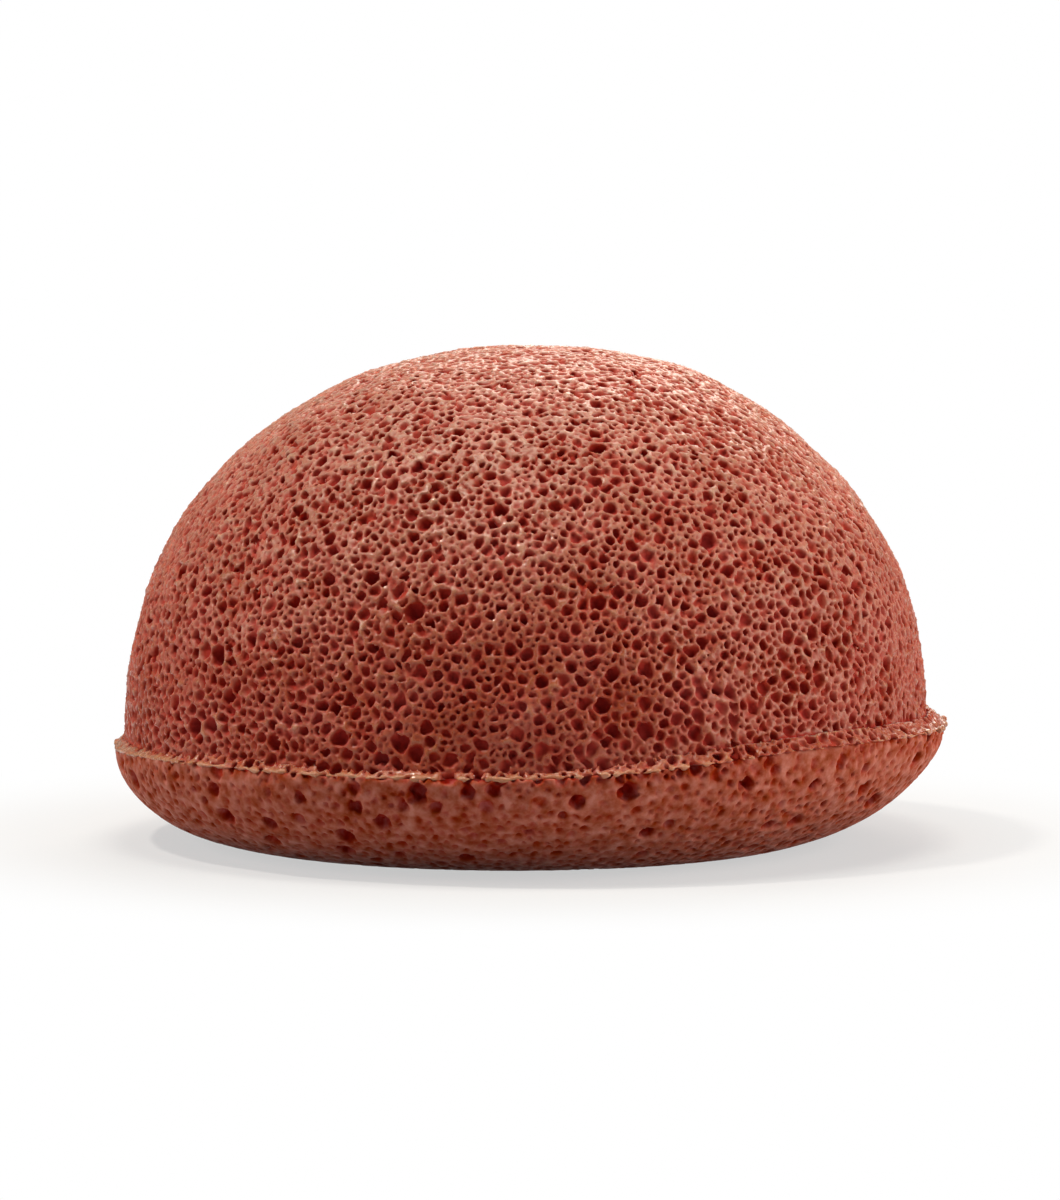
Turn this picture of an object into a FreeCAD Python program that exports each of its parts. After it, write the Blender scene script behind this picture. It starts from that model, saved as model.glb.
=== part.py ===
# Half-ball face sponge of moulded konjac foam, standing on its flat foot.
# Millimetres, +Z up, origin on the floor under the middle of the sponge.
# The foam was cast in a bowl mould under a shallow lid: the dome is the bowl's side, the base pad the lid's
# side, and a bead of flash runs round the parting line between them.
# The dome is made as two zones, because damp foam gives under the fingertips: the crown, which is
# pressed down, and the wall under it, which shortens.

import FreeCAD
import Part
import Sketcher
import math
import os

OUT_FOLDER = "parts"
SHEET = "Dimensions"

# Driving dimensions: cell alias, value in millimetres, what it measures.
DIMENSIONS = [
    ("foot_radius", 26.0, "flat disc that the sponge stands on"),
    ("base_height", 9.7, "floor to the parting line"),
    ("dome_radius", 37.8, "dome at the parting line"),
    ("ledge_width", 0.8, "step from the dome out to the base pad's edge"),
    ("skirt_height", 2.0, "upright part of the dome's side"),
    ("dome_rise", 34.5, "top of the skirt to the top of the dome"),
    ("wall_height", 18.3, "parting line to the press line"),
    ("lip_reach", 1.2, "tip of the flash, out from the dome's side"),
    ("lip_tip_height", 0.6, "tip of the flash above the parting line"),
    ("lip_height", 1.8, "where the flash meets the dome, above the parting line"),
    ("cut_overrun", 1.0, "how far a cutting shape passes the faces it cuts"),
]

ORIGIN_POINT = -1  # Sketcher's name for the origin, and for the two axes
FULL_TURN = 360.0
START, END = 1, 2


def make_sheet(doc):
    sheet = doc.addObject("Spreadsheet::Sheet", SHEET)
    for row, (alias, value, note) in enumerate(DIMENSIONS, start=1):
        sheet.set(f"A{row}", alias)
        sheet.set(f"B{row}", str(value))
        sheet.setAlias(f"B{row}", alias)
        sheet.set(f"C{row}", note)
    doc.recompute()
    return sheet


def bind(thing, prop, formula):
    """Ties a property to the sheet. Words in braces are cell names."""
    names = {alias: f"{SHEET}.{alias}" for alias, _, _ in DIMENSIONS}
    thing.setExpression(prop, formula.format(**names))


def bind_constraint(sketch, name, formula):
    bind(sketch, f"Constraints.{name}", formula)


def upright_sketch(body, name):
    """An empty sketch in the body's own XZ plane, with sketch X as radius and sketch Y as height."""
    planes = {f.Role: f for f in body.Origin.OriginFeatures}
    sketch = body.newObject("Sketcher::SketchObject", name)
    sketch.AttachmentSupport = (planes["XZ_Plane"], [""])
    sketch.MapMode = "FlatFace"
    return sketch


def add_loop(sketch, curves, smooth_after=()):
    """Adds curves end to start in a closed loop, smooth after those listed, and returns their numbers."""
    numbers = [sketch.addGeometry(curve, False) for curve in curves]
    for place_in_loop, here in enumerate(numbers):
        after = numbers[(place_in_loop + 1) % len(numbers)]
        kind = "Tangent" if place_in_loop in smooth_after else "Coincident"
        sketch.addConstraint(Sketcher.Constraint(kind, here, END, after, START))
    return numbers


def place(sketch, curve, end, name, radius=None, height=None):
    """Fixes one end of a curve by its radius and its height, each tied to a formula."""
    for kind, axis_name, formula in (("DistanceX", "radius", radius), ("DistanceY", "height", height)):
        if formula is None:
            continue
        guess = sketch.getPoint(curve, end)
        value = guess.x if kind == "DistanceX" else guess.y
        number = sketch.addConstraint(Sketcher.Constraint(kind, ORIGIN_POINT, START, curve, end, value))
        sketch.renameConstraint(number, f"{name}_{axis_name}")
        bind_constraint(sketch, f"{name}_{axis_name}", formula)


def spin(body, sketch, name):
    """Turns a sketch about the upright axis into a solid."""
    turn = body.newObject("PartDesign::Revolution", name)
    turn.Profile = sketch
    turn.ReferenceAxis = (sketch, ["V_Axis"])
    turn.Angle = FULL_TURN
    sketch.Visibility = False
    return turn


def make_base_pad(doc, size):
    """Shallow pad below the parting line: a flat foot whose edge rolls up to the ledge under the dome."""
    body = doc.addObject("PartDesign::Body", "base_pad")
    sketch = upright_sketch(body, "base_profile")
    edge_radius = size.dome_radius + size.ledge_width
    run = edge_radius - size.foot_radius
    roll = (run**2 + size.base_height**2) / (2 * size.base_height)
    middle = FreeCAD.Vector(size.foot_radius, roll, 0)
    lean = math.atan2(size.base_height - roll, run)
    rolled_edge = Part.ArcOfCircle(Part.Circle(middle, FreeCAD.Vector(0, 0, 1), roll), -math.pi / 2, lean)
    centre_low = FreeCAD.Vector(0, 0, 0)
    centre_high = FreeCAD.Vector(0, size.base_height, 0)
    foot_edge = FreeCAD.Vector(size.foot_radius, 0, 0)
    top_edge = FreeCAD.Vector(edge_radius, size.base_height, 0)
    foot, edge, top, axis = add_loop(
        sketch,
        [
            Part.LineSegment(centre_low, foot_edge),
            rolled_edge,
            Part.LineSegment(top_edge, centre_high),
            Part.LineSegment(centre_high, centre_low),
        ],
        smooth_after=[0],
    )
    sketch.addConstraint(Sketcher.Constraint("Coincident", foot, START, ORIGIN_POINT, START))
    sketch.addConstraint(Sketcher.Constraint("Horizontal", foot))
    sketch.addConstraint(Sketcher.Constraint("Horizontal", top))
    sketch.addConstraint(Sketcher.Constraint("Vertical", axis))
    place(sketch, foot, END, "foot", radius="{foot_radius}")
    place(sketch, edge, END, "edge", radius="{dome_radius} + {ledge_width}", height="{base_height}")
    spin(body, sketch, "base_turn")
    return body


def make_rim_flash(doc, size):
    """Bead of flash on the ledge, round the foot of the dome."""
    body = doc.addObject("PartDesign::Body", "rim_flash")
    sketch = upright_sketch(body, "flash_profile")
    seat = FreeCAD.Vector(size.dome_radius, size.base_height, 0)
    root = FreeCAD.Vector(size.dome_radius + size.ledge_width, size.base_height, 0)
    tip = FreeCAD.Vector(size.dome_radius + size.lip_reach, size.base_height + size.lip_tip_height, 0)
    top = FreeCAD.Vector(size.dome_radius, size.base_height + size.lip_height, 0)
    ledge, bead, inside = add_loop(
        sketch,
        [
            Part.LineSegment(seat, root),
            Part.Arc(root, tip, top),
            Part.LineSegment(top, seat),
        ],
    )
    mark = sketch.addGeometry(Part.Point(tip), True)
    sketch.addConstraint(Sketcher.Constraint("Horizontal", ledge))
    sketch.addConstraint(Sketcher.Constraint("Vertical", inside))
    place(sketch, ledge, START, "seat", radius="{dome_radius}", height="{base_height}")
    place(sketch, ledge, END, "root", radius="{dome_radius} + {ledge_width}")
    place(sketch, bead, END, "top", height="{base_height} + {lip_height}")
    place(
        sketch,
        mark,
        START,
        "tip",
        radius="{dome_radius} + {lip_reach}",
        height="{base_height} + {lip_tip_height}",
    )
    sketch.addConstraint(Sketcher.Constraint("PointOnObject", mark, START, bead))
    spin(body, sketch, "flash_turn")
    return body


def make_dome_form(doc):
    """The whole dome above the parting line: an upright skirt under half an ellipsoid."""
    skirt = doc.addObject("Part::Cylinder", "dome_skirt")
    bind(skirt, "Radius", "{dome_radius}")
    bind(skirt, "Height", "{skirt_height}")
    bind(skirt, "Placement.Base.z", "{base_height}")
    cap = doc.addObject("Part::Ellipsoid", "dome_cap")
    cap.Angle1 = 0
    for prop in ("Radius2", "Radius3"):
        bind(cap, prop, "{dome_radius}")
    bind(cap, "Radius1", "{dome_rise}")
    bind(cap, "Placement.Base.z", "{base_height} + {skirt_height}")
    form = doc.addObject("Part::Fuse", "dome_form")
    form.Base = skirt
    form.Tool = cap
    return form


def split_dome(doc, form):
    """The dome's two zones, parted at the press line: the wall below it and the crown above it."""
    slab = doc.addObject("Part::Cylinder", "press_slab")
    bind(slab, "Radius", "{dome_radius} + {cut_overrun}")
    bind(slab, "Height", "{wall_height} + {cut_overrun}")
    bind(slab, "Placement.Base.z", "{base_height} - {cut_overrun}")
    wall = doc.addObject("Part::Common", "dome_wall")
    wall.Base = form
    wall.Tool = slab
    crown = doc.addObject("Part::Cut", "dome_crown")
    crown.Base = form
    crown.Tool = slab
    return wall, crown


def check(doc, pieces):
    """Stops the build if an object failed or a piece isn't one sound solid."""
    for thing in doc.Objects:
        if "Invalid" in thing.State or "Error" in thing.State:
            raise RuntimeError(f"{thing.Label} failed: {thing.State}")
    for piece in pieces:
        shape = piece.Shape
        if shape.isNull() or not shape.isValid() or len(shape.Solids) != 1:
            raise RuntimeError(f"{piece.Label} isn't one valid solid")


def write_steps(pieces):
    os.makedirs(OUT_FOLDER, exist_ok=True)
    for piece in pieces:
        piece.Shape.exportStep(os.path.join(OUT_FOLDER, f"{piece.Label}.step"))
        box = piece.Shape.optimalBoundingBox()
        print(
            f"{piece.Label}: {piece.Shape.Volume / 1000:.2f} cm3,"
            f" {box.XLength:.2f} x {box.YLength:.2f} x {box.ZLength:.2f} mm,"
            f" z {box.ZMin:.2f} to {box.ZMax:.2f}"
        )


def main():
    doc = FreeCAD.newDocument("konjac_sponge")
    size = make_sheet(doc)
    base_pad = make_base_pad(doc, size)
    rim_flash = make_rim_flash(doc, size)
    dome_wall, dome_crown = split_dome(doc, make_dome_form(doc))
    pieces = [base_pad, rim_flash, dome_wall, dome_crown]
    doc.recompute()
    check(doc, pieces)
    write_steps(pieces)


main()
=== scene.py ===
import math
import time

import bpy
import numpy as np
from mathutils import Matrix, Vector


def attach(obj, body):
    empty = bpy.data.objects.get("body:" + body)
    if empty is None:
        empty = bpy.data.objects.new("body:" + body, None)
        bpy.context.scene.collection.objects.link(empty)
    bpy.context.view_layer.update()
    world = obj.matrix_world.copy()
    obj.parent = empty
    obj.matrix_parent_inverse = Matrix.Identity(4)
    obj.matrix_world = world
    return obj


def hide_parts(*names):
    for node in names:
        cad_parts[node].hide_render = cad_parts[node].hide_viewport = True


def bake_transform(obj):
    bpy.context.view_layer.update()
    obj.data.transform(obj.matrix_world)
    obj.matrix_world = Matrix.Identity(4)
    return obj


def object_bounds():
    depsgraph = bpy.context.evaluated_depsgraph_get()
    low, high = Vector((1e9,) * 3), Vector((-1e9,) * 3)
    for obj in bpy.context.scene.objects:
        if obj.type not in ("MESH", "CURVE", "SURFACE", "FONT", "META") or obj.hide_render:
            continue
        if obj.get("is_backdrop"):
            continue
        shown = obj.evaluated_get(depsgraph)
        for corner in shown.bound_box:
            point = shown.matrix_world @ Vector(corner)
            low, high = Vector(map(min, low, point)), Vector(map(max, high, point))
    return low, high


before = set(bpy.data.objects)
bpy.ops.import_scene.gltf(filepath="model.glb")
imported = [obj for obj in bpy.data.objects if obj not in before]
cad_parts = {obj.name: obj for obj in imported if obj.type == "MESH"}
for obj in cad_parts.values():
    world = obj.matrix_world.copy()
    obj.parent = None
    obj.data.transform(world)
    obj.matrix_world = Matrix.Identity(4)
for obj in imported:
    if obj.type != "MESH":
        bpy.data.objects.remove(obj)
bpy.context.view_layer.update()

import openvdb
from mathutils import Vector, kdtree

startTime = time.time()
mm = 0.001
distanceLimit = 0.6  # mm, distances past this make no difference to a mesh


def report(words):
    print(f"[sponge] {time.time() - startTime:5.1f} s  {words}")


# Half-ball sponge of konjac foam. The shape is worked out in millimetres, as distances on a block of
# cells: below zero is foam, above zero is air. Pores are taken out of it, and the meshes are drawn round
# what is left.

spongeShape = {
    "cell": 0.20,  # mm, edge of one cell of the block
    "reach": 41.0,  # mm, half width of the block
    "floorMargin": 0.7,  # mm of block under the floor
    "top": 47.6,  # mm, top of the block
    "seed": 11,
    "domeRadius": 38.0,
    "domeHeight": 36.7,  # lip to the top
    "domeSquareness": 2.15,  # 2 is an ellipse, more has fuller shoulders
    "swell": 0.15,  # slow unevenness of the cast surface
    "swellWidth": 15.0,
    "ripple": 0.07,
    "rippleWidth": 4.0,
    "lipLevel": 9.9,  # height of the lip's tip
    "lipTilt": 1.0,  # the base is thicker on the right
    "lipWave": 0.7,  # slow rise and fall of the lip round the sponge
    "lipWander": 0.12,  # and a less even one
    "lipNotch": 0.048,  # fine rise and fall of its edge
    "lipRise": 0.45,  # how much higher it climbs at one place
    "lipRiseTurn": (-52.0, 20.0),  # degrees, where that is, and over what width
    "lipCentreX": 0.3,
    "lipReach": 1.10,  # tip of the lip, out from the dome's side
    "lipReachRight": 0.35,  # how much further it reaches on the right
    "lipSlope": 1.3,  # tip of the lip up to where it runs into the dome
    "lipCurve": 1.3,  # 1 is a straight slope there, more is a hollow one
    "lipInset": 0.05,  # how far the slope and the base stay behind the tip
    "lipBead": 0.27,  # radius of its edge
    "lipRag": 0.12,  # raggedness of that edge
    "lipSolid": 0.10,  # how much smaller pores are at its edge
    "lipSoftTurn": (-46.0, 24.0),  # degrees, where the edge fades away, and over what width
    "lipFade": 0.9,  # how much of it fades
    "lipDrawnIn": 0.35,  # how much less far it reaches there
    "footEdge": (25.4, 24.2),  # where the flat foot ends, on the left and on the right
    "rollFullness": (2.0, 1.65),  # rolled edge above the foot, on the left and on the right
    "bend": 0.16,  # how far pores are bent out of round
    "bendWidth": 1.3,
    "poreRound": 0.36,  # rounding where a pore opens through the dome's skin
    "baseRound": 0.22,  # and through the base's
    "lipRound": 0.15,  # and where the lip's edge joins the lip
    "overlap": 0.05,  # mm that neighbouring pieces reach into each other
    "keep": {"dome": 0.30, "base": 0.26, "lip": 0.6},  # share of each mesh's faces that is kept
}


def waveNoise(rng, points, width, waves=26):
    # smooth noise of about unit height, whose bumps are about width across
    value = np.zeros(len(points), np.float32)
    for _ in range(waves):
        direction = rng.normal(size=3)
        direction *= rng.uniform(0.6, 1.4) * math.pi / (width * np.linalg.norm(direction))
        value += np.sin(points @ direction.astype(np.float32) + rng.uniform(0, 2 * math.pi))
    return value * (1.6 / math.sqrt(waves))  # brings the sum to about unit height


def ringNoise(rng, angle, low, high):
    # noise round the sponge, made of whole waves per turn from low to high
    value = np.zeros_like(angle)
    for count in range(low, high):
        value += rng.normal() * np.cos(count * angle + rng.uniform(0, 2 * math.pi))
    return value / math.sqrt(high - low)


class Block:
    # the block of cells, with the places of its columns
    def __init__(self, shape):
        cell = shape["cell"]
        self.cell = cell
        half = math.ceil(shape["reach"] / cell)
        self.low = np.array([-half, -half, -math.ceil(shape["floorMargin"] / cell)])
        self.count = np.array([2 * half + 1, 2 * half + 1, math.ceil(shape["top"] / cell) - self.low[2] + 1])
        axes = [(np.arange(n) + low).astype(np.float32) * cell for n, low in zip(self.count, self.low)]
        self.x, self.y = np.meshgrid(axes[0], axes[1], indexing="ij")
        self.heights = axes[2]
        rng = np.random.default_rng(shape["seed"] + 2)
        self.bends = [[self.bend(rng, axis, shape["bendWidth"]) for axis in axes] for _ in range(2)]
        self.bendSize = shape["bend"]

    def bend(self, rng, axis, width):
        # a wavy line along one axis, of four waves with different lengths
        waves = []
        for _ in range(4):
            length = width * rng.uniform(0.7, 1.5)
            waves.append(np.sin(axis * 2 * math.pi / length + rng.uniform(0, 6.3)))
        return (sum(waves) / 2).astype(np.float32)

    def shift(self, index):
        # how far each cell is bent out of place, in mm
        one, two = self.bends
        x, y, z = index[..., 0], index[..., 1], index[..., 2]
        parts = [one[1][y] * two[2][z], one[2][z] * two[0][x], one[0][x] * two[1][y]]
        return self.bendSize * np.stack(parts, -1)

    def layers(self, low, high):
        first = max(0, int(np.searchsorted(self.heights, low)))
        last = min(self.count[2], int(np.searchsorted(self.heights, high)) + 1)
        return first, last

    def read(self, first, field, points):
        # a field's value at points in mm
        place = points / self.cell - self.low - np.array([0, 0, first])
        place = np.clip(place, 0, np.array(field.shape) - 1.001)
        base = place.astype(int)
        part = place - base
        value = np.zeros(len(place))
        for corner in range(8):
            step = np.array([corner & 1, corner >> 1 & 1, corner >> 2 & 1])
            spot = base + step
            weight = np.prod(np.where(step, part, 1 - part), axis=1)
            value += weight * field[spot[:, 0], spot[:, 1], spot[:, 2]]
        return value


def softMax(a, b, width):
    # the greater of two distances, with the corner between them rounded
    near = np.maximum(width - np.abs(a - b), 0)
    return np.maximum(a, b) + near * near / (4 * width)


def coarseSwell(shape, block):
    # slow unevenness on a coarse grid, spread over one layer of the block at a time
    rng = np.random.default_rng(shape["seed"])
    step = 1.0
    half = math.ceil(shape["reach"] / step) + 1
    flat = np.arange(-half, half + 1) * step
    tall = np.arange(-2, math.ceil(shape["top"] / step) + 2) * step
    spots = np.stack(np.meshgrid(tall, flat, flat, indexing="ij"), -1).reshape(-1, 3).astype(np.float32)
    value = shape["swell"] * waveNoise(rng, spots, shape["swellWidth"])
    value += shape["ripple"] * waveNoise(rng, spots, shape["rippleWidth"])
    value = value.reshape(len(tall), len(flat), len(flat))
    place = (block.x[:, 0] - flat[0]) / step
    spread = np.zeros((len(place), len(flat)), np.float32)
    left = np.floor(place).astype(int)
    spread[np.arange(len(place)), left] = 1 - (place - left)
    spread[np.arange(len(place)), left + 1] = place - left

    def layer(height):
        where = (height - tall[0]) / step
        lower = int(where)
        mix = value[lower] * (1 - where + lower) + value[lower + 1] * (where - lower)
        return spread @ mix @ spread.T

    return layer


def lipLine(shape, x, y):
    # over each column: height of the lip's tip, how far the tip stands out, and how ragged, how thick
    # and how crisp its edge is
    angle = np.arctan2(y, x)
    degrees = np.degrees(angle)
    away = np.minimum(np.hypot(x, y) / (shape["domeRadius"] + shape["lipReach"]), 1.05)
    rng = np.random.default_rng(shape["seed"] + 1)
    turn, width = shape["lipRiseTurn"]
    wave = shape["lipWave"] * np.sin(2 * angle) ** 2 + shape["lipWander"] * ringNoise(rng, angle, 3, 9)
    wave += shape["lipRise"] * np.exp(-(((degrees - turn) / width) ** 2))
    wave += shape["lipNotch"] * ringNoise(rng, angle, 40, 160)
    height = shape["lipLevel"] + shape["lipTilt"] * x / shape["domeRadius"] + wave * away**4
    turn, width = shape["lipSoftTurn"]
    crisp = 1 - shape["lipFade"] * np.exp(-(((degrees - turn) / width) ** 2))
    toRight = np.clip(np.cos(angle), 0, 1) ** 2
    reach = shape["lipReach"] + shape["lipReachRight"] * toRight - shape["lipDrawnIn"] * (1 - crisp)
    knobs = ringNoise(rng, angle, 15, 240) * (0.4 + 0.6 * crisp)  # the edge comes and goes
    bead = shape["lipBead"] * np.clip(0.6 * (crisp + knobs), 0, 1.15)
    ragged = shape["lipRag"] * (ringNoise(rng, angle, 12, 60) + 0.7 * ringNoise(rng, angle, 60, 180))
    return height, reach, ragged, bead, crisp


def bowlDistance(out, up, wide, tall, power):
    # distance to a rounded outline that is wide across and tall, true near the outline
    least = 1e-3  # mm, keeps the powers sound
    leastSlope = 0.015  # keeps the distance bounded near the middle
    out = np.maximum(out, least) / wide
    up = np.maximum(up, least) / tall
    slope = power * np.hypot(out ** (power - 1) / wide, up ** (power - 1) / tall)
    return (out**power + up**power - 1) / np.maximum(slope, leastSlope)


def domeRadiusAt(shape, height):
    share = np.clip((height - shape["lipLevel"]) / shape["domeHeight"], 0, 1)
    return shape["domeRadius"] * (1 - share ** shape["domeSquareness"]) ** (1 / shape["domeSquareness"])


def spongeLayers(shape, block):
    # distances to the dome, the lip and the base, worked out layer by layer near their skins
    swell = coarseSwell(shape, block)
    tip, reach, ragged, bead, crisp = lipLine(shape, block.x, block.y)
    fields = {}
    spans = {"dome": (6.5, shape["top"]), "lip": (7.0, 14.5), "bead": (7.0, 14.5), "base": (-9.0, 13.5)}
    far = 3.0  # mm from a skin where the distance no longer matters
    slack = 2.0  # mm that the lip's tip may lie off its level
    footOnly = 18.0  # mm from the middle, inside which the base's skin is just the flat foot
    slant = 0.75  # true distance to the lip's slope, over the level one
    for name, (low, high) in spans.items():
        first, last = block.layers(low, high)
        fields[name] = (first, np.full((*block.count[:2], last - first), far, np.float32))
    radius = np.hypot(block.x, block.y)
    lipOut = np.hypot(block.x - shape["lipCentreX"], block.y) - shape["domeRadius"]
    side = (1 + block.x / np.maximum(radius, 1)) / 2  # 0 on the left, 1 on the right
    footEdge = shape["footEdge"][0] * (1 - side) + shape["footEdge"][1] * side
    fullness = shape["rollFullness"][0] * (1 - side) + shape["rollFullness"][1] * side
    edge = reach - shape["lipInset"]
    baseWide = radius - lipOut + edge - footEdge
    domeSize = shape["domeRadius"], shape["domeHeight"], shape["domeSquareness"]
    for number, height in enumerate(block.heights):
        uneven = swell(height)
        first, dome = fields["dome"]
        if 0 <= number - first < dome.shape[2]:
            inner = domeRadiusAt(shape, height + slack + far) - far
            outer = domeRadiusAt(shape, height - slack - far) + far
            near = (radius > inner) & (radius < outer)
            up = height - tip[near]
            lift = shape["domeHeight"] / (shape["lipLevel"] + shape["domeHeight"] - tip[near])
            layer = dome[:, :, number - first]
            layer[radius <= inner] = -far
            layer[near] = bowlDistance(radius[near], up * lift, *domeSize) + uneven[near]
        first, lip = fields["lip"]
        near = (lipOut > -far) & (lipOut < far)
        up = height - tip[near]
        if 0 <= number - first < lip.shape[2]:
            rise = np.clip(1 - up / shape["lipSlope"], 0, 1) ** shape["lipCurve"]
            flare = slant * (lipOut[near] - edge[near] * rise)
            layer = lip[:, :, number - first]
            layer[lipOut <= -far] = -far
            layer[near] = np.where(up > shape["lipSlope"], far, flare)
            layer = fields["bead"][1][:, :, number - first]
            layer[near] = np.hypot(lipOut[near] - reach[near] - ragged[near] + bead[near], up) - bead[near]
        first, base = fields["base"]
        if 0 <= number - first < base.shape[2]:
            near = radius > footOnly
            past = radius[near] - footEdge[near]
            down = tip[near] - height
            rolled = bowlDistance(past, down, baseWide[near], tip[near], fullness[near])
            share = np.clip(height / shape["lipLevel"], 0, 1)
            layer = base[:, :, number - first]
            layer[~near] = -height
            layer[near] = np.maximum(np.where(past > 0, rolled + uneven[near] * share, -height), -height)
    return fields, tip, crisp


# Pores. Each is a cell of the foam that the mould cut open: a rounded hollow that its neighbours press
# into corners, with a thin wall between them. Some were cut near the middle and some only just.
# radius in mm; sunk, the centre's depth under the skin over the radius; deep, the depth over the radius

domePores = {
    "seed": 21,
    "long": (-0.3, 0.45),  # how far pores are drawn out one way
    "packing": 0.10,  # mm left between two pores when they are scattered
    "swollen": 0.15,  # mm that a pore then grows, until a wall stops it
    "wall": 0.24,  # mm of foam between two pores
    "finerAtTop": 0.20,  # how much smaller pores are at the top
    # the most noticeable ones at the front: x, height, radius
    "marked": [
        (-10.1, 24.8, 0.98), (-6.5, 22.7, 0.70), (10.9, 19.5, 0.70), (10.9, 14.1, 0.78), (15.5, 13.7, 0.72),
        (13.7, 15.1, 0.60), (-11.4, 13.1, 0.85), (16.1, 17.3, 0.55), (18.7, 17.2, 0.60), (5.2, 16.8, 0.60),
        (4.7, 14.8, 0.60), (-6.5, 18.9, 0.60), (-9.6, 19.3, 0.65), (-9.1, 14.4, 0.65), (-4.1, 13.0, 0.60),
        (11.7, 24.5, 0.55), (-9.1, 32.5, 0.70), (-5.2, 37.8, 0.58), (22.0, 17.5, 0.60), (21.0, 15.7, 0.60),
    ],
    "groups": [
        {"radius": (0.66, 0.86), "tries": 60, "sunk": (0.0, 0.3), "deep": (1.2, 1.6)},
        {"radius": (0.48, 0.66), "tries": 1100, "sunk": (-0.3, 0.3), "deep": (1.1, 1.6)},
        {"radius": (0.36, 0.50), "tries": 5000, "sunk": (-0.4, 0.4), "deep": (1.2, 1.9)},
        {"radius": (0.26, 0.38), "tries": 22000, "sunk": (-0.4, 0.4), "deep": (1.2, 1.9)},
        {"radius": (0.17, 0.26), "tries": 90000, "sunk": (-0.3, 0.4), "deep": (1.2, 1.9)},
    ],
}

# small openings that break through the walls
wallPores = {
    "seed": 23,
    "long": (-0.3, 0.45),
    "packing": 0.45,
    "swollen": 0.0,
    "wall": 0.1,
    "finerAtTop": 0.0,
    "marked": [],
    "groups": [{"radius": (0.22, 0.36), "tries": 6000, "sunk": (-0.3, 0.4), "deep": (1.0, 1.5)}],
}

# the lid's side kept more of its skin: small pores further apart, and some wide ones
basePores = {
    "seed": 31,
    "long": (-0.2, 0.40),
    "packing": 0.26,
    "swollen": 0.04,
    "wall": 0.26,
    "finerAtTop": 0.0,
    "marked": [
        (-28.8, 7.4, 0.62), (-20.5, 7.6, 0.60), (-15.5, 7.0, 0.70), (-13.0, 5.7, 0.80), (-11.1, 7.4, 0.50),
        (-9.8, 8.6, 0.92), (-5.2, 8.8, 0.70), (-2.9, 9.0, 0.62), (-23.3, 4.8, 0.80), (-16.3, 4.1, 0.85),
        (4.7, 7.8, 0.75), (9.3, 8.6, 0.92), (20.5, 8.6, 0.75), (11.1, 4.1, 0.72), (13.2, 4.9, 0.50),
        (22.5, 3.7, 0.65), (27.2, 7.6, 0.62), (3.4, 6.5, 0.42), (0.3, 4.8, 0.50), (-29.5, 6.2, 0.45),
    ],
    "groups": [
        {"radius": (0.70, 1.00), "tries": 60, "sunk": (-0.3, 0.2), "deep": (0.8, 1.1)},
        {"radius": (0.40, 0.65), "tries": 300, "sunk": (-0.4, 0.2), "deep": (0.8, 1.1)},
        {"radius": (0.28, 0.42), "tries": 4000, "sunk": (-0.65, -0.1), "deep": (0.9, 1.2)},
        {"radius": (0.19, 0.27), "tries": 40000, "sunk": (-0.4, 0.2), "deep": (0.9, 1.3)},
    ],
}


# columns of the pore table
placeOf, outOf, lieOf = slice(0, 3), slice(3, 6), slice(6, 9)
sizeOf, sunkOf, deepOf, longOf = 9, 10, 11, 12
columnCount = 13


def domeProfile(shape):
    # points down the dome's side, as radius and height
    turn = np.linspace(0, math.pi / 2, 400)
    power = 2 / shape["domeSquareness"]
    radius = shape["domeRadius"] * np.sin(turn) ** power
    height = shape["lipLevel"] + shape["domeHeight"] * np.cos(turn) ** power
    return radius, height


def baseProfile(shape):
    # points from the middle of the foot out and up to the lip
    foot = sum(shape["footEdge"]) / 2
    power = 4 / sum(shape["rollFullness"])
    turn = np.linspace(0, math.pi / 2, 200)
    wide = shape["domeRadius"] + shape["lipReach"] - foot
    flat = np.linspace(0, foot, 80, endpoint=False)
    radius = np.concatenate([flat, foot + wide * np.sin(turn) ** power])
    height = np.concatenate([0 * flat, shape["lipLevel"] * (1 - np.cos(turn) ** power)])
    return radius, height


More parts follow.
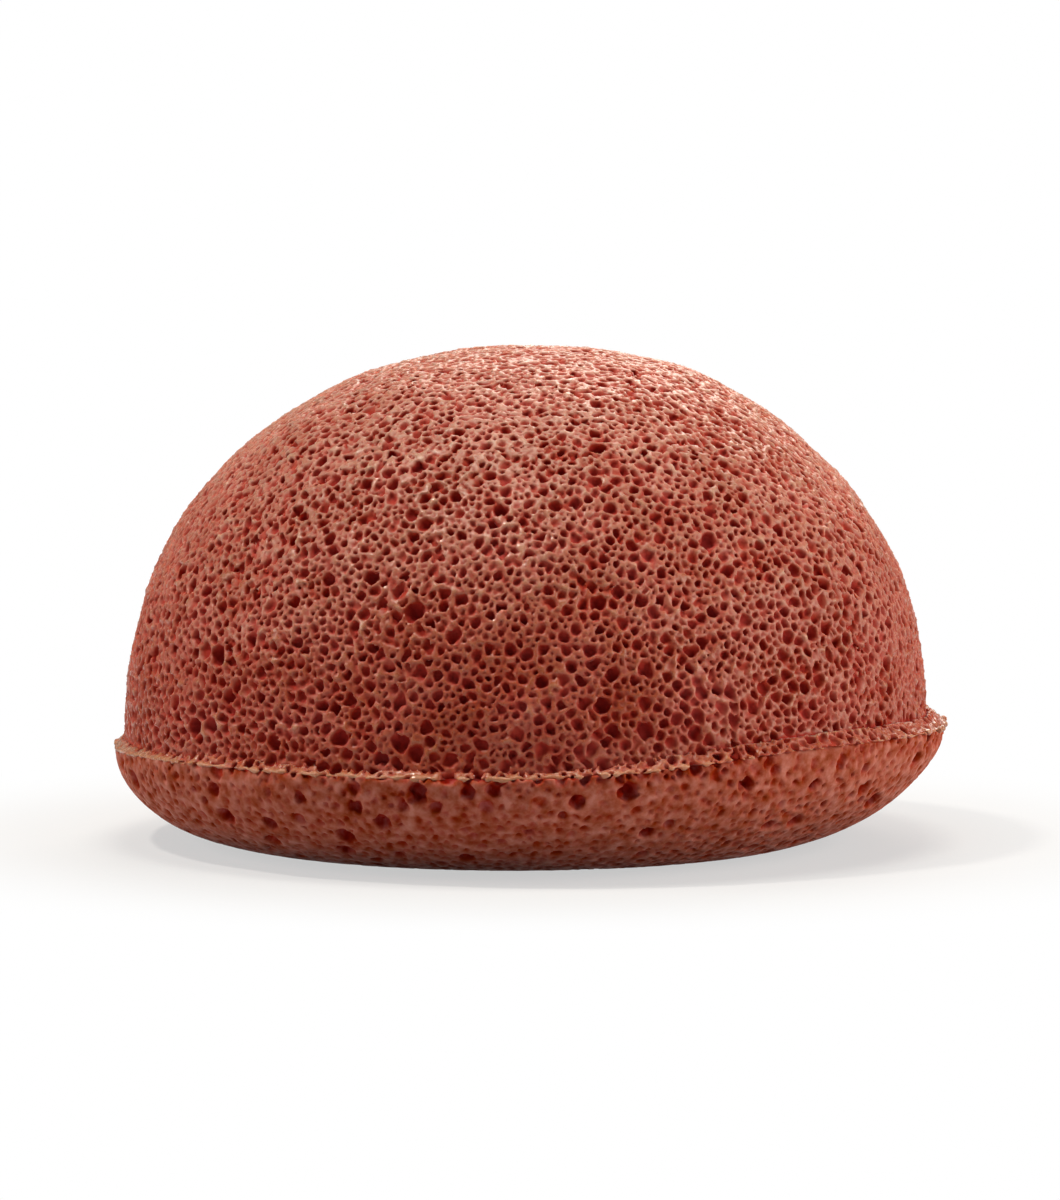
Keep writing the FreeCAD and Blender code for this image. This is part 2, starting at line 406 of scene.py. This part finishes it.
def scatterPores(settings, profile, block, first, field):
    # fills a turned surface with pores, the marked ones first and then from large to small
    batchSize = 1500
    markedSunk, markedDeep = 0.1, 1.2
    rng = np.random.default_rng(settings["seed"])
    radius, height = profile
    numbers = np.arange(len(radius))
    along = np.hypot(np.diff(radius), np.diff(height))
    area = np.concatenate([[0], np.cumsum(along * (radius[1:] + radius[:-1]) / 2)])
    out = np.stack([-np.gradient(height), np.gradient(radius)], 1)
    out *= np.sign(out[:, 0].sum()) / np.linalg.norm(out, axis=1)[:, None]
    pores = np.zeros((0, columnCount))
    marked = np.array(settings["marked"]).reshape(-1, 3)
    for group in [None] + settings["groups"]:
        if group is None:
            tries = len(marked)
            where = np.array([float(np.abs(height - z).argmin()) for z in marked[:, 1]])
            turn = -np.arccos(np.clip(marked[:, 0] / np.interp(where, numbers, radius), -1, 1))
            size, sunk, deep = marked[:, 2], np.full(tries, markedSunk), np.full(tries, markedDeep)
        else:
            tries = group["tries"]
            where = np.interp(rng.uniform(0, area[-1], tries), area, numbers)
            turn = rng.uniform(0, 2 * math.pi, tries)
            size, sunk, deep = (rng.uniform(*group[key], tries) for key in ("radius", "sunk", "deep"))
        columns = radius, height, out[:, 0], out[:, 1]
        r, h, outR, outH = (np.interp(where, numbers, column) for column in columns)
        size = size * (1 - settings["finerAtTop"] * (h - height.min()) / np.ptp(height))
        fresh = np.zeros((tries, columnCount))
        fresh[:, placeOf] = np.stack([r * np.cos(turn), r * np.sin(turn), h], 1)
        fresh[:, outOf] = np.stack([outR * np.cos(turn), outR * np.sin(turn), outH], 1)
        fresh[:, lieOf] = np.cross(fresh[:, outOf], rng.normal(size=(tries, 3)))
        fresh[:, lieOf] /= np.linalg.norm(fresh[:, lieOf], axis=1)[:, None]
        fresh[:, sizeOf], fresh[:, sunkOf], fresh[:, deepOf] = size, sunk, deep
        fresh[:, longOf] = rng.uniform(*settings["long"], tries)
        for _ in range(3):
            fresh[:, placeOf] -= fresh[:, outOf] * block.read(first, field, fresh[:, placeOf])[:, None]
        for start in range(0, tries, batchSize):
            batch = fresh[start : start + batchSize]
            pores = np.concatenate([pores, batch[firstComers(batch, pores, settings["packing"])]])
    pores[:, placeOf] -= pores[:, outOf] * (pores[:, sizeOf] * pores[:, sunkOf])[:, None]
    return pores


def firstComers(batch, pores, packing):
    # which of a batch of pores fit between those already there and between each other
    place, size = batch[:, placeOf], batch[:, sizeOf]
    fits = np.ones(len(batch), bool)
    if len(pores):
        tree = kdtree.KDTree(len(pores))
        for number, pore in enumerate(pores):
            tree.insert(pore[placeOf], number)
        tree.balance()
        sizes = pores[:, sizeOf]
        widest = sizes.max()
        for number, spot in enumerate(place):
            for _, other, apart in tree.find_range(spot, size[number] + widest + packing):
                if apart < size[number] + sizes[other] + packing:
                    fits[number] = False
                    break
    left = np.flatnonzero(fits)
    apart = np.linalg.norm(place[left][:, None] - place[left][None], axis=2)
    clash = apart < size[left][:, None] + size[left][None] + packing
    taken = np.zeros(len(left), bool)
    for number in range(len(left)):
        taken[number] = not (clash[number, :number] & taken[:number]).any()
    return left[taken]


def poreBlocks(block, settings, pores):
    # for a few pores at a time, the cells round them and how far each cell lies outside its pore
    atOnce = 300
    margin = settings["swollen"] + settings["wall"]
    longest = np.maximum(pores[:, deepOf], np.sqrt(1 / (1 - settings["long"][1])))
    spread = np.ceil((pores[:, sizeOf] * longest + margin + block.bendSize) / block.cell).astype(int)
    for half in np.unique(spread):
        steps = np.arange(-half, half + 1)
        offsets = np.stack(np.meshgrid(steps, steps, steps, indexing="ij"), -1).reshape(-1, 3)
        members = np.flatnonzero(spread == half)
        for start in range(0, len(members), atOnce):
            some = pores[members[start : start + atOnce]].astype(np.float32)
            middle = np.round(some[:, placeOf] / block.cell).astype(int) - block.low
            index = np.clip(middle[:, None, :] + offsets[None], 0, block.count - 1)
            away = ((index + block.low) * block.cell - some[:, None, placeOf]).astype(np.float32)
            away = away + block.shift(index)
            up = np.einsum("ijk,ik->ij", away, some[:, outOf])
            lie = np.einsum("ijk,ik->ij", away, some[:, lieOf])
            flat = np.einsum("ijk,ijk->ij", away, away) - up**2 - some[:, longOf, None] * lie**2
            tall = np.where(up < 0, up / some[:, deepOf, None], up)
            value = np.sqrt(np.maximum(flat, 0) + tall**2) - some[:, sizeOf, None]
            near = value < margin
            index = index[near]
            yield (index[:, 0] * block.count[1] + index[:, 1]) * block.count[2] + index[:, 2], value[near]


def carvePores(block, hollow, settings, pores):
    # writes how deep each cell lies inside a pore, above zero in the pore's air
    noPore = 9.0  # mm, where no pore is near
    nearest = np.full(hollow.size, noPore, np.float32)
    second = np.full(hollow.size, noPore, np.float32)
    for spots, value in poreBlocks(block, settings, pores):
        np.minimum.at(nearest, spots, value)
    for spots, value in poreBlocks(block, settings, pores):
        behind = value > nearest[spots] + 1e-5
        np.minimum.at(second, spots[behind], value[behind])
    inside = np.minimum(settings["swollen"] - nearest, (second - nearest - settings["wall"]) / 2)
    np.maximum(hollow.reshape(-1), inside, out=hollow.reshape(-1))


def withoutCrumbs(count, quads):
    # drops crumbs, which are loose skins with only a few faces
    fewest = 80
    label = np.arange(count)
    sides = np.concatenate([quads[:, [0, 1]], quads[:, [1, 2]], quads[:, [2, 3]]])
    while True:
        before = label.copy()
        least = np.minimum(label[sides[:, 0]], label[sides[:, 1]])
        np.minimum.at(label, sides[:, 0], least)
        np.minimum.at(label, sides[:, 1], least)
        label = label[label]
        if (label == before).all():
            break
    home = label[quads[:, 0]]
    return quads[np.bincount(home)[home] >= fewest]


def meshFromField(name, block, first, field, keep):
    # draws the skin where the field crosses zero, and thins the mesh to the share keep
    grid = openvdb.FloatGrid(distanceLimit)
    grid.copyFromArray(np.clip(field, -distanceLimit, distanceLimit))
    points, quads = grid.convertToQuads(isovalue=0.0)
    low = block.low + np.array([0, 0, first])
    points = (points + low) * (block.cell * mm)
    quads = withoutCrumbs(len(points), quads)
    used, quads = np.unique(quads, return_inverse=True)
    points, quads = points[used], quads.reshape(-1, 4)
    a, b, c = points[quads[:, 0]], points[quads[:, 1]], points[quads[:, 2]]
    if np.einsum("ij,ij->i", a, np.cross(b, c)).sum() < 0:
        quads = quads[:, ::-1]
    mesh = bpy.data.meshes.new(name)
    mesh.vertices.add(len(points))
    mesh.vertices.foreach_set("co", points.astype(np.float32).ravel())
    mesh.loops.add(quads.size)
    mesh.loops.foreach_set("vertex_index", quads.astype(np.int32).ravel())
    mesh.polygons.add(len(quads))
    mesh.polygons.foreach_set("loop_start", np.arange(0, quads.size, 4, dtype=np.int32))
    mesh.update(calc_edges=True)
    mesh.validate()
    piece = bpy.data.objects.new(name, mesh)
    bpy.context.scene.collection.objects.link(piece)
    report(f"{name}: {len(quads)} quads drawn")
    thin = piece.modifiers.new("thin", "DECIMATE")
    thin.ratio = keep
    bpy.context.view_layer.update()
    thinned = bpy.data.meshes.new_from_object(piece.evaluated_get(bpy.context.evaluated_depsgraph_get()))
    piece.modifiers.clear()
    piece.data = thinned
    bpy.data.meshes.remove(mesh)
    thinned.name = name
    report(f"{name}: {len(thinned.polygons)} faces kept")
    piece.data.polygons.foreach_set("use_smooth", np.ones(len(piece.data.polygons), bool))
    return piece


def markDepth(piece, block, first, field):
    # stores how far under the skin each point lies, in mm
    points = np.empty(len(piece.data.vertices) * 3, np.float32)
    piece.data.vertices.foreach_get("co", points)
    depth = -block.read(first, field, points.reshape(-1, 3) / mm)
    mark = piece.data.attributes.new("poreDepth", "FLOAT", "POINT")
    mark.data.foreach_set("value", np.maximum(depth, 0).astype(np.float32))


def buildSponge():
    shape = spongeShape
    block = Block(shape)
    report(f"block of {block.count} cells")
    fields, tip, crisp = spongeLayers(shape, block)
    firstDome, dome = fields["dome"]
    firstLip, lip = fields["lip"]
    firstBase, base = fields["base"]
    report("shape worked out")
    lipInDome = slice(firstLip - firstDome, firstLip - firstDome + lip.shape[2])
    skin = dome.copy()
    skin[:, :, lipInDome] = np.minimum(skin[:, :, lipInDome], lip)
    hollow = np.full(block.count, -distanceLimit, np.float32)
    for settings in (domePores, wallPores):
        pores = scatterPores(settings, domeProfile(shape), block, firstDome, skin)
        report(f"{len(pores)} pores on the dome")
        carvePores(block, hollow, settings, pores)
    pores = scatterPores(basePores, baseProfile(shape), block, firstBase, base)
    report(f"{len(pores)} pores on the base")
    carvePores(block, hollow, basePores, pores)
    report("pores carved")
    aboveTip = block.heights[None, None, :] - tip[:, :, None]
    overlap = shape["overlap"]
    keep = shape["keep"]
    pieces = {}

    span = slice(firstDome, firstDome + dome.shape[2])
    cut = softMax(dome, hollow[:, :, span], shape["poreRound"])
    cut = np.maximum(cut, -overlap - aboveTip[:, :, span])
    pieces["dome"] = meshFromField("dome", block, firstDome, cut, keep["dome"])
    markDepth(pieces["dome"], block, firstDome, skin)

    span = slice(firstBase, firstBase + base.shape[2])
    cut = softMax(base, hollow[:, :, span], shape["baseRound"])
    cut = np.maximum(cut, aboveTip[:, :, span])
    pieces["base"] = meshFromField("basePad", block, firstBase, cut, keep["base"])
    markDepth(pieces["base"], block, firstBase, base)

    span = slice(firstLip, firstLip + lip.shape[2])
    above = aboveTip[:, :, span]
    solid = shape["lipSolid"] * np.clip(1 - np.abs(above) / shape["lipSlope"], 0, 1) * crisp[:, :, None]
    cut = softMax(lip, hollow[:, :, span] - solid, shape["poreRound"])
    cut = np.maximum(cut, -overlap - above)
    cut = -softMax(-cut, -fields["bead"][1], shape["lipRound"])
    cut = np.maximum(cut, -overlap - dome[:, :, lipInDome])
    pieces["lip"] = meshFromField("lip", block, firstLip, cut, keep["lip"])
    markDepth(pieces["lip"], block, firstLip, lip)
    return pieces


# Camera at the photograph's angle: a little above the lip, with a long lens.

cameraSetup = {
    "elevation": 5.5,  # degrees
    "distance": 900.0,  # mm
    "target": (0.4, 0.0, 22.5),  # mm
    "frameHeight": 113.0,  # mm seen at the target, top to bottom
    "sensor": 36.0,  # mm
}


def buildCamera():
    setup = cameraSetup
    camera = bpy.data.objects.new("camera", bpy.data.cameras.new("camera"))
    bpy.context.scene.collection.objects.link(camera)
    lean = math.radians(setup["elevation"])
    target = Vector(setup["target"]) * mm
    back = Vector((0, -math.cos(lean), math.sin(lean)))
    camera.location = target + back * setup["distance"] * mm
    camera.rotation_euler = (-back).to_track_quat("-Z", "Y").to_euler()
    camera.data.sensor_width = setup["sensor"]
    camera.data.lens = setup["sensor"] * setup["distance"] / setup["frameHeight"]
    camera.data.clip_start = 0.01
    camera.data.clip_end = 20.0
    bpy.context.scene.camera = camera


def linear(hexColour):
    # sRGB hex to linear, with alpha
    parts = [int(hexColour[i : i + 2], 16) / 255 for i in (1, 3, 5)]
    return [p / 12.92 if p <= 0.04045 else ((p + 0.055) / 1.055) ** 2.4 for p in parts] + [1.0]


def addNode(tree, kind, inputs=None, **settings):
    # adds a node; settings are its own properties, and each input gets a value or a link from a socket
    node = tree.nodes.new(kind)
    for name, value in settings.items():
        setattr(node, name, value)
    for name, value in (inputs or {}).items():
        if isinstance(value, bpy.types.NodeSocket):
            tree.links.new(value, node.inputs[name])
        else:
            node.inputs[name].default_value = value
    return node


# konjac root foam with red clay, cast and dried. The bowl's side is open foam: soft ridges with a damp sheen
# and a painted paler sheen towards the top; its colour is painted darker and redder down in the pores, as
# their shade and the red glow of light bouncing in them. The lid's side kept a closed skin, duller and more
# even.

foamLook = {
    "name": "konjacFoam",
    # colour at each depth under the skin, in mm: the foam's own colour at the skin, then painted shade and a
    # painted red glow of light bouncing in the pores further down
    "shadedDepths": [(0.0, "#A97354"), (0.10, "#9E4E31"), (0.25, "#9C3519"), (0.60, "#A01C06"), (1.20, "#930C02")],
    # pale colour painted onto the ridges towards the top: a painted sheen of the light from above
    "paintedSheenColour": "#BFA793",
    "paintedSheen": 0.56,  # share of that colour at the top, where the light from above makes the ridges look paler: a painted sheen
    "paintedSheenHeights": (18.0, 40.0),  # mm
    "mottleSize": 5.0,  # mm
    "mottle": 0.12,
    "grainSize": 0.35,  # mm
    "roughness": (0.14, 0.34),
    "deepRoughness": 0.85,
    "ior": 1.45,
    "gloss": 0.45,
    "sheen": 0.24,
}

skinLook = {
    "name": "konjacSkin",
    # colour at each depth under the skin, in mm: the skin's own colour, then painted shade and a painted red
    # glow of light bouncing in the pores further down
    "shadedDepths": [(0.0, "#A1543F"), (0.10, "#9A442E"), (0.25, "#942F18"), (0.60, "#8C1909"), (1.20, "#800D05")],
    "mottleSize": 1.1,
    "mottle": 0.32,
    "grainSize": 0.35,
    "roughness": (0.50, 0.70),
    "deepRoughness": 0.85,
    "ior": 1.40,
    "gloss": 0.08,
    "sheen": 0.0,
}


# what both kinds of surface share: the body of the foam under the skin
foamBody = {
    "paintedSheenDepth": 0.3,  # mm under the skin, down to which the ridges take the painted sheen
    "dullDepths": (0.08, 0.45),  # mm under the skin, over which the sheen is lost
    "bump": (0.45, 0.08),  # strength, and height in mm
    "sheenRoughness": 0.3,
    "translucence": 0.45,
    "scatter": (1.0, 0.42, 0.28),  # how far red, green and blue light spreads, over the distance below
    "scatterDistance": 0.75,  # mm
}

noiseSpan = (0.3, 0.7)  # where most values of a noise texture lie


def konjac(look):
    body = foamBody
    material = bpy.data.materials.new(look["name"])
    material.use_nodes = True
    tree = material.node_tree
    tree.nodes.clear()
    place = addNode(tree, "ShaderNodeTexCoord").outputs["Object"]
    depth = addNode(tree, "ShaderNodeAttribute", attribute_name="poreDepth").outputs["Fac"]
    deepest = look["shadedDepths"][-1][0]
    # colour by depth under the skin, with the pores' shade and red glow painted in
    share = addNode(tree, "ShaderNodeMapRange", {"Value": depth, "From Max": deepest}).outputs["Result"]
    ramp = addNode(tree, "ShaderNodeValToRGB", {"Fac": share})
    stops = ramp.color_ramp.elements
    while len(stops) < len(look["shadedDepths"]):
        stops.new(0.5)
    for stop, (at, colour) in zip(stops, look["shadedDepths"]):
        stop.position = at / deepest
        stop.color = linear(colour)
    colour = ramp.outputs["Color"]
    # painted sheen: the ridges turn paler towards the top, where the light from above falls on them
    if "paintedSheen" in look:
        height = addNode(tree, "ShaderNodeSeparateXYZ", {"Vector": place}).outputs["Z"]
        low, high = (level * mm for level in look["paintedSheenHeights"])
        toTop = {"Value": height, "From Min": low, "From Max": high, "To Max": look["paintedSheen"]}
        paintedSheenShare = addNode(tree, "ShaderNodeMapRange", toTop).outputs["Result"]
        toPore = {"Value": depth, "From Max": body["paintedSheenDepth"], "To Min": paintedSheenShare, "To Max": 0.0}
        ridge = addNode(tree, "ShaderNodeMapRange", toPore).outputs["Result"]
        mix = {"Fac": ridge, "Color1": colour, "Color2": linear(look["paintedSheenColour"])}
        colour = addNode(tree, "ShaderNodeMixRGB", mix).outputs["Color"]

    noiseLow, noiseHigh = noiseSpan
    uneven = {"Vector": place, "Scale": 1 / (look["mottleSize"] * mm), "Detail": 3.0}
    mottle = addNode(tree, "ShaderNodeTexNoise", uneven).outputs["Fac"]
    spread = {"Value": mottle, "From Min": noiseLow, "From Max": noiseHigh}
    most = look["mottle"]
    light = addNode(tree, "ShaderNodeMapRange", {**spread, "To Min": 1 - most, "To Max": 1 + most})
    dull = addNode(tree, "ShaderNodeMapRange", {**spread, "To Min": 1 + most / 3, "To Max": 1 - most / 2})
    change = {"Color": colour, "Value": light.outputs["Result"], "Saturation": dull.outputs["Result"]}
    tint = addNode(tree, "ShaderNodeHueSaturation", change)

    fine = {"Vector": place, "Scale": 1 / (look["grainSize"] * mm), "Detail": 2.0}
    grain = addNode(tree, "ShaderNodeTexNoise", fine).outputs["Fac"]
    strength, bumpHeight = body["bump"]
    rough = {"Height": grain, "Strength": strength, "Distance": bumpHeight * mm}
    bump = addNode(tree, "ShaderNodeBump", rough)
    low, high = look["roughness"]
    glossy = {"Value": grain, "From Min": noiseLow, "From Max": noiseHigh, "To Min": low, "To Max": high}
    sheen = addNode(tree, "ShaderNodeMapRange", glossy).outputs["Result"]
    low, high = body["dullDepths"]
    inPore = {"Value": depth, "From Min": low, "From Max": high, "To Min": sheen}
    matt = addNode(tree, "ShaderNodeMapRange", {**inPore, "To Max": look["deepRoughness"]})
    shader = addNode(
        tree,
        "ShaderNodeBsdfPrincipled",
        {
            "Base Color": tint.outputs["Color"],
            "Roughness": matt.outputs["Result"],
            "Normal": bump.outputs["Normal"],
            "IOR": look["ior"],
            "Specular IOR Level": look["gloss"],
            "Sheen Weight": look["sheen"],
            "Sheen Roughness": body["sheenRoughness"],
            "Subsurface Weight": body["translucence"],
            "Subsurface Radius": body["scatter"],
            "Subsurface Scale": body["scatterDistance"] * mm,
        },
    )
    addNode(tree, "ShaderNodeOutputMaterial", {"Surface": shader.outputs["BSDF"]})
    return material


studio = {
    "floor": "#BFC1C3",
    "floorWhite": 0.55,  # share of white that the eye sees next to the sponge
    "floorWidth": 9.0,  # m, so that the camera sees nothing but floor behind the sponge
    "fade": (0.036, 0.072),  # m from the sponge's middle, over which the floor turns white
    "worldStrength": 0.15,
    "lampColour": "#FFF6EA",
    "lampTarget": (0.0, 0.0, 0.02),  # m
    # name, place in m, size in m, watts
    "lamps": [
        ("top", (0.05, 0.00, 1.00), 0.40, 4.6),
        ("key", (-0.42, -0.08, 0.88), 0.08, 5.2),
        ("back", (0.15, 0.75, 0.60), 0.50, 5.4),
        ("left", (-0.85, 0.00, 0.40), 0.35, 2.7),
        ("right", (0.85, -0.10, 0.20), 0.90, 11.0),
    ],
}


def seenRay(tree):
    # 1 for rays that end in the eye, straight or by way of a mirror or glass
    path = addNode(tree, "ShaderNodeLightPath").outputs
    seen = path["Is Camera Ray"]
    for kind in ("Is Glossy Ray", "Is Transmission Ray"):
        both = addNode(tree, "ShaderNodeMath", {0: seen, 1: path[kind]}, operation="ADD", use_clamp=True)
        seen = both.outputs[0]
    return seen


def buildStudio():
    setup = studio
    half = setup["floorWidth"] / 2
    mesh = bpy.data.meshes.new("floor")
    corners = [(-half, -half, 0), (half, -half, 0), (half, half, 0), (-half, half, 0)]
    mesh.from_pydata(corners, [], [(0, 1, 2, 3)])
    floor = bpy.data.objects.new("floor", mesh)
    bpy.context.scene.collection.objects.link(floor)
    paper = bpy.data.materials.new("backdropPaper")
    paper.use_nodes = True
    tree = paper.node_tree
    tree.nodes.clear()
    matt = addNode(tree, "ShaderNodeBsdfDiffuse", {"Color": linear(setup["floor"])})
    white = addNode(tree, "ShaderNodeEmission", {"Color": (1, 1, 1, 1), "Strength": 1.0})
    place = addNode(tree, "ShaderNodeTexCoord").outputs["Object"]
    away = addNode(tree, "ShaderNodeVectorMath", {0: place}, operation="LENGTH").outputs["Value"]
    near, far = setup["fade"]
    outwards = {"Value": away, "From Min": near, "From Max": far, "To Min": setup["floorWhite"]}
    fade = addNode(tree, "ShaderNodeMapRange", outwards, interpolation_type="SMOOTHSTEP")
    factors = {0: fade.outputs["Result"], 1: seenRay(tree)}
    seen = addNode(tree, "ShaderNodeMath", factors, operation="MULTIPLY")
    mix = addNode(tree, "ShaderNodeMixShader", {0: seen.outputs[0], 1: matt.outputs[0], 2: white.outputs[0]})
    addNode(tree, "ShaderNodeOutputMaterial", {"Surface": mix.outputs[0]})
    mesh.materials.append(paper)
    floor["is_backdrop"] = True
    for name, place, size, watts in setup["lamps"]:
        lamp = bpy.data.lights.new(name, "AREA")
        lamp.size = size
        lamp.energy = watts
        lamp.color = linear(setup["lampColour"])[:3]
        holder = bpy.data.objects.new(name, lamp)
        bpy.context.scene.collection.objects.link(holder)
        holder.location = place
        aim = Vector(setup["lampTarget"]) - Vector(place)
        holder.rotation_euler = aim.to_track_quat("-Z", "Y").to_euler()
    world = bpy.data.worlds.new("studio")
    world.use_nodes = True
    tree = world.node_tree
    tree.nodes.clear()
    sky = addNode(tree, "ShaderNodeBackground", {"Color": (1, 1, 1, 1), "Strength": setup["worldStrength"]})
    addNode(tree, "ShaderNodeOutputWorld", {"Surface": sky.outputs["Background"]})
    bpy.context.scene.world = world
    bpy.context.scene.view_settings.view_transform = "Standard"


buildCamera()
buildStudio()
pieces = buildSponge()
foam = konjac(foamLook)
skin = konjac(skinLook)
for name, piece in pieces.items():
    piece.data.materials.clear()
    piece.data.materials.append(skin if name == "base" else foam)

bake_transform(pieces["dome"])
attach(pieces["base"], "base")
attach(pieces["lip"], "base")
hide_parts("dome_wall", "dome_crown")
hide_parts("base_pad")
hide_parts("rim_flash")

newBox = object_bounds()
report(f"visual box {[round(v / mm, 1) for c in newBox for v in c]} mm")
